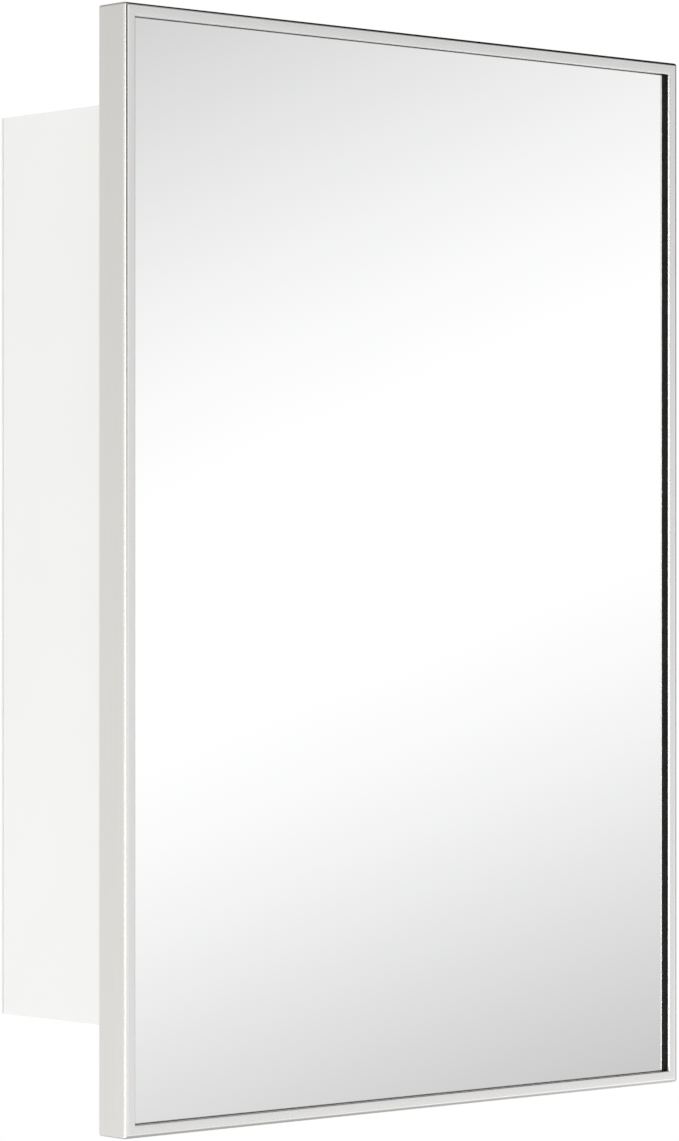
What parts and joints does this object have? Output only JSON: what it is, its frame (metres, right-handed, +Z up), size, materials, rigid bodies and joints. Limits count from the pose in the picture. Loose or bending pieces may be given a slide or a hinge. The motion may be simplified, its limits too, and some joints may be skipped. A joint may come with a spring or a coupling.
{
  "type": "medicine cabinet with mirror",
  "caption": "Shallow wall-hung bathroom cabinet with a framed mirror door on a piano hinge, a magnetic catch and glass shelves.",
  "frame": {"origin": "middle of the four wall holes, on the back panel's wall face", "axes": "+Z up, +X to the right as seen from the room, +Y into the wall, so the mirror door faces -Y"},
  "size_m": [0.4572, 0.153, 0.6604],
  "materials": {
    "white_powder_coat": "smooth white powder coat",
    "brushed_stainless": "brushed along each rail",
    "mirror_silver": "silvered float glass",
    "black_gasket": "satin extruded rubber",
    "black_rubber": "matte",
    "clear_glass": "clear, ground edges",
    "zinc_plated_steel": "bright zinc plate",
    "hinge_stainless": "satin stainless",
    "clear_silicone": "clear, soft",
    "white_plastic": "moulded",
    "ferrite_magnet": "sintered, matte",
    "grey_foam": "closed-cell foam",
    "hardboard": "pressed fibre"
  },
  "bodies": {
    "cabinet": {"left_side_panel": "white_powder_coat", "right_side_panel": "white_powder_coat", "top_panel": "white_powder_coat", "bottom_panel": "white_powder_coat", "back_panel": "white_powder_coat", "shelf_standard_front_left": "zinc_plated_steel", "shelf_standard_front_right": "zinc_plated_steel", "shelf_standard_rear_left": "zinc_plated_steel", "shelf_standard_rear_right": "zinc_plated_steel", "shelf_clips_upper": "zinc_plated_steel", "shelf_clips_middle": "zinc_plated_steel", "shelf_clips_lower": "zinc_plated_steel", "clip_pads_upper": "clear_silicone", "clip_pads_middle": "clear_silicone", "clip_pads_lower": "clear_silicone", "hinge_leaf_body": "hinge_stainless", "hinge_pin": "hinge_stainless", "hinge_screws_body": "hinge_stainless", "catch_housing": "white_plastic", "catch_magnet": "ferrite_magnet", "catch_pole_plates": "zinc_plated_steel", "catch_screws": "zinc_plated_steel", "door_bumpers": "clear_silicone"},
    "door": {"frame_rail_top": "brushed_stainless", "frame_rail_bottom": "brushed_stainless", "frame_rail_left": "brushed_stainless", "frame_rail_right": "brushed_stainless", "glazing_gasket": "black_gasket", "mirror_glass": "mirror_silver", "glass_setting_blocks": "black_rubber", "mirror_backing_board": "hardboard", "foam_spacer_strips": "grey_foam", "door_back_panel": "white_powder_coat", "corner_gusset_top_left": "zinc_plated_steel", "corner_gusset_top_right": "zinc_plated_steel", "corner_gusset_bottom_left": "zinc_plated_steel", "corner_gusset_bottom_right": "zinc_plated_steel", "gusset_screws": "zinc_plated_steel", "hinge_stiffener": "zinc_plated_steel", "strike_stiffener": "zinc_plated_steel", "hinge_leaf_door": "hinge_stainless", "hinge_screws_door": "hinge_stainless", "strike_plate": "zinc_plated_steel", "strike_screws": "zinc_plated_steel"},
    "shelf_upper": {"glass_shelf_upper": "clear_glass"},
    "shelf_middle": {"glass_shelf_middle": "clear_glass"},
    "shelf_lower": {"glass_shelf_lower": "clear_glass"}
  },
  "joints": [
    {"name": "door_hinge", "type": "hinge", "parent": "cabinet", "child": "door", "pos_m": [0.2072, -0.1261, 0], "axis": [0, 0, 1], "range_deg": [0, 105]},
    {"name": "shelf_upper_lift", "type": "slide", "parent": "cabinet", "child": "shelf_upper", "axis": [0, 0, 1], "range_m": [0, 0.025]},
    {"name": "shelf_middle_lift", "type": "slide", "parent": "cabinet", "child": "shelf_middle", "axis": [0, 0, 1], "range_m": [0, 0.025]},
    {"name": "shelf_lower_lift", "type": "slide", "parent": "cabinet", "child": "shelf_lower", "axis": [0, 0, 1], "range_m": [0, 0.025]}
  ]
}
